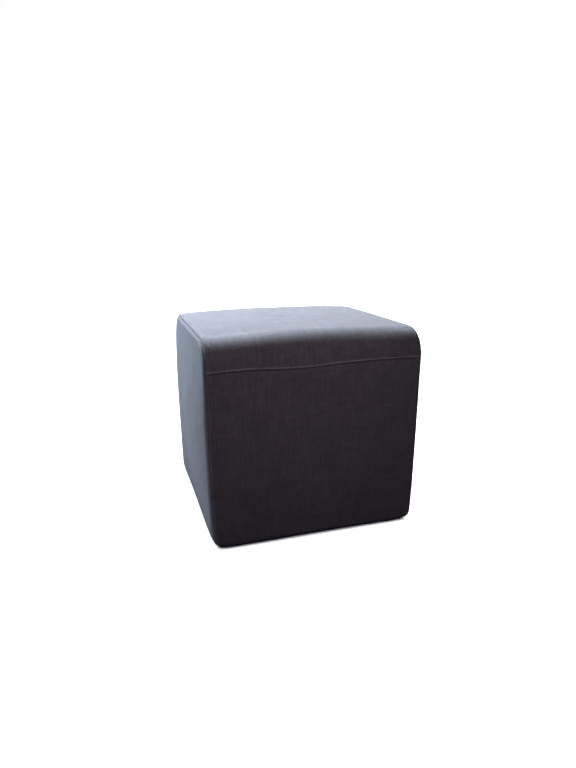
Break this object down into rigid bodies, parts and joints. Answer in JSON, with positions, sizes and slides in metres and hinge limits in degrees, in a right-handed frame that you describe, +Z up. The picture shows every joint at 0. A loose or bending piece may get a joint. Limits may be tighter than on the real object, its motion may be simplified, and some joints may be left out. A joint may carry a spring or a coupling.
{
  "type": "cube pouf stool",
  "caption": "Soft cube seat with rounded front and back top edges, a cloth strip over the top, plain side panels and a flat underside.",
  "frame": {"origin": "middle of the underside, on the floor", "axes": "+Z up, the front with its seam faces -Y, +X to the right seen from the front"},
  "size_m": [0.4466, 0.4453, 0.4171],
  "materials": {
    "strip_fabric": "matt woven cloth, charcoal grey",
    "panel_fabric": "matt woven cloth, charcoal grey",
    "base_fabric": "matt plain cloth, near black"
  },
  "bodies": {
    "root": {"pouf_body": "strip_fabric", "front_panel": "panel_fabric", "back_panel": "panel_fabric", "left_panel": "panel_fabric", "right_panel": "panel_fabric", "base_cloth": "base_fabric"}
  },
  "joints": []
}
